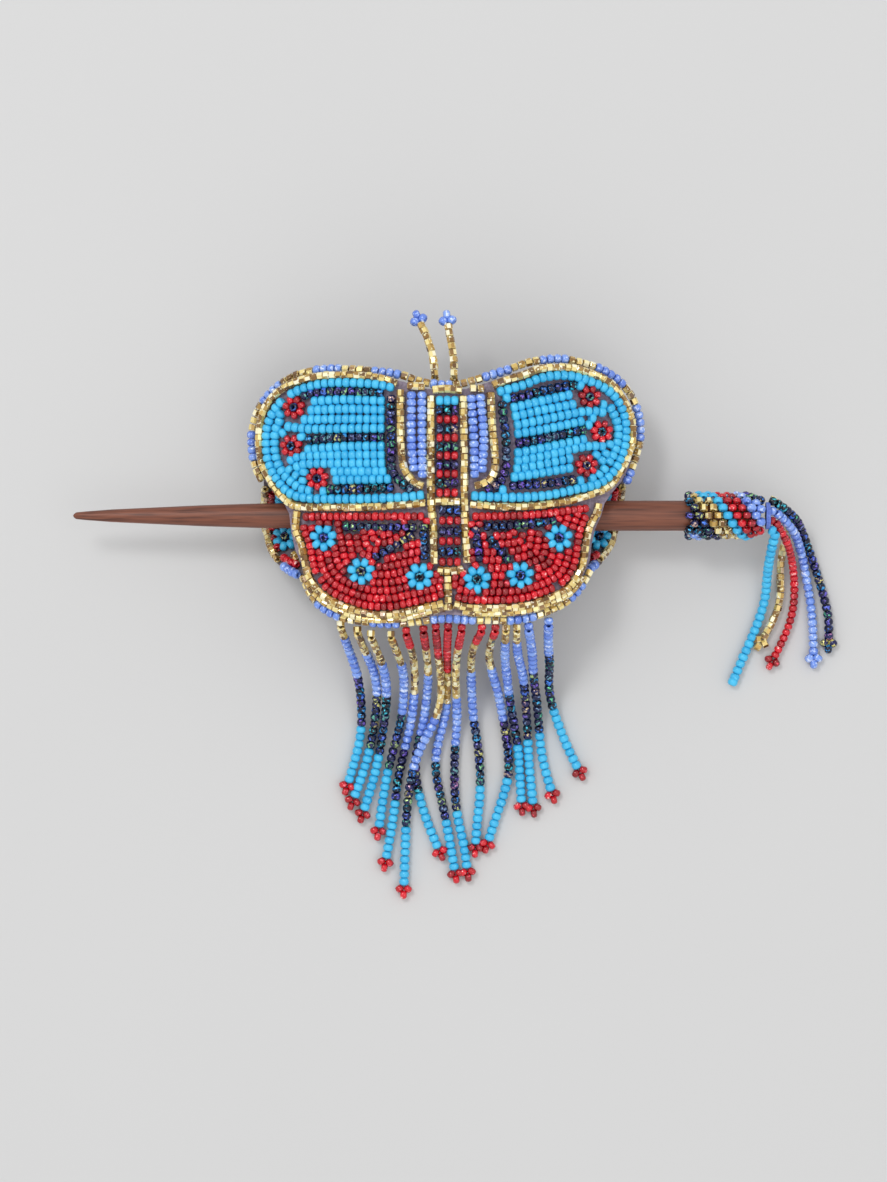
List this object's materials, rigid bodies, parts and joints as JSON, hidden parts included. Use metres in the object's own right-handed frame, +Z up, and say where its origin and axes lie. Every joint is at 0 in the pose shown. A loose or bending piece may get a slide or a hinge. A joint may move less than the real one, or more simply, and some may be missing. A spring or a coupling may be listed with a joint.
{
  "type": "decorative hair pin",
  "caption": "Arched beaded butterfly hair slide with a tapered wooden stick, a beaded sleeve with a tassel, two antennae and a hanging bead fringe.",
  "frame": {"origin": "on the surface that the pin lies on, under the stick's axis, midway between the wing tips", "axes": "+X along the stick away from its tip, +Y towards the antennae, +Z up from the surface, away from the head"},
  "size_m": [0.1698, 0.1255, 0.0295],
  "materials": {
    "hide": "suede side of a soft leather",
    "stiff": "plain stiff sheet",
    "felt": "greyish lilac felt",
    "turquoise": "opaque satin glass beads",
    "iris": "dark metallic iris glass beads",
    "red": "silver lined red glass beads",
    "gold": "silver lined cut gold glass beads",
    "periwinkle": "pearl periwinkle glass beads",
    "mixed": "glass seed beads in five colours",
    "stick_wood": "oiled reddish brown wood",
    "thread": "black beading thread"
  },
  "bodies": {
    "panel": {"leather_backing": "hide", "stiffener_sheet": "stiff", "beading_felt": "felt", "upper_edge_beads": "mixed", "lower_edge_beads": "mixed", "left_forewing_outline": "gold", "left_forewing_veins": "iris", "left_forewing_rosettes": "red", "left_forewing_beads": "turquoise", "right_forewing_outline": "gold", "right_forewing_veins": "iris", "right_forewing_rosettes": "red", "right_forewing_beads": "turquoise", "left_hindwing_outline": "gold", "left_hindwing_veins": "iris", "left_hindwing_flowers": "turquoise", "left_hindwing_beads": "red", "right_hindwing_outline": "gold", "right_hindwing_veins": "iris", "right_hindwing_flowers": "turquoise", "right_hindwing_beads": "red", "left_thorax_pad": "periwinkle", "right_thorax_pad": "periwinkle", "upper_body_stripes": "mixed", "lower_body_stripes": "mixed", "body_outline": "gold", "left_flap_backing": "hide", "left_flap_beads": "red", "left_flap_flower": "turquoise", "right_flap_backing": "hide", "right_flap_beads": "red", "right_flap_flower": "turquoise"},
    "tassel_cap": {"tassel_knot": "thread"},
    "stick": {"wood_stick": "stick_wood", "bead_sleeve": "mixed"},
    "tassel": {"tassel_strand_1": "mixed", "tassel_strand_2": "mixed", "tassel_strand_3": "mixed", "tassel_strand_4": "mixed", "tassel_strand_5": "mixed"},
    "fringe_left": {"fringe_strand_01": "mixed", "fringe_strand_02": "mixed", "fringe_strand_03": "mixed", "fringe_strand_04": "mixed", "fringe_strand_05": "mixed"},
    "fringe_middle": {"fringe_strand_06": "mixed", "fringe_strand_07": "mixed", "fringe_strand_08": "mixed", "fringe_strand_09": "mixed"},
    "fringe_right": {"fringe_strand_10": "mixed", "fringe_strand_11": "mixed", "fringe_strand_12": "mixed", "fringe_strand_13": "mixed", "fringe_strand_14": "mixed", "fringe_strand_15": "mixed"},
    "left_feeler": {"left_antenna": "gold"},
    "right_feeler": {"right_antenna": "gold"}
  },
  "joints": [
    {"name": "stick_slide", "type": "slide", "parent": "panel", "child": "tassel_cap", "axis": [1, 0, 0], "range_m": [-0.01, 0.112]},
    {"name": "stick_turn", "type": "hinge", "parent": "tassel_cap", "child": "stick", "pos_m": [0.071, 0, 0.0132], "axis": [1, 0, 0], "continuous": true},
    {"name": "tassel_lift", "type": "hinge", "parent": "tassel_cap", "child": "tassel", "pos_m": [0.0729, 0, 0.0132], "axis": [-1, 0, 0], "range_deg": [0, 80]},
    {"name": "fringe_left_lift", "type": "hinge", "parent": "panel", "child": "fringe_left", "pos_m": [-0.016, -0.0262, 0.0234], "axis": [-1, 0, 0], "range_deg": [0, 45]},
    {"name": "fringe_middle_lift", "type": "hinge", "parent": "panel", "child": "fringe_middle", "pos_m": [0, -0.0256, 0.025], "axis": [-1, 0, 0], "range_deg": [0, 45]},
    {"name": "fringe_right_lift", "type": "hinge", "parent": "panel", "child": "fringe_right", "pos_m": [0.014, -0.0254, 0.024], "axis": [-1, 0, 0], "range_deg": [0, 45]},
    {"name": "left_feeler_bend", "type": "hinge", "parent": "panel", "child": "left_feeler", "pos_m": [-0.0027, 0.0304, 0.0254], "axis": [1, 0, 0], "range_deg": [-30, 70]},
    {"name": "right_feeler_bend", "type": "hinge", "parent": "panel", "child": "right_feeler", "pos_m": [0.0015, 0.0304, 0.0255], "axis": [1, 0, 0], "range_deg": [-30, 70]}
  ]
}
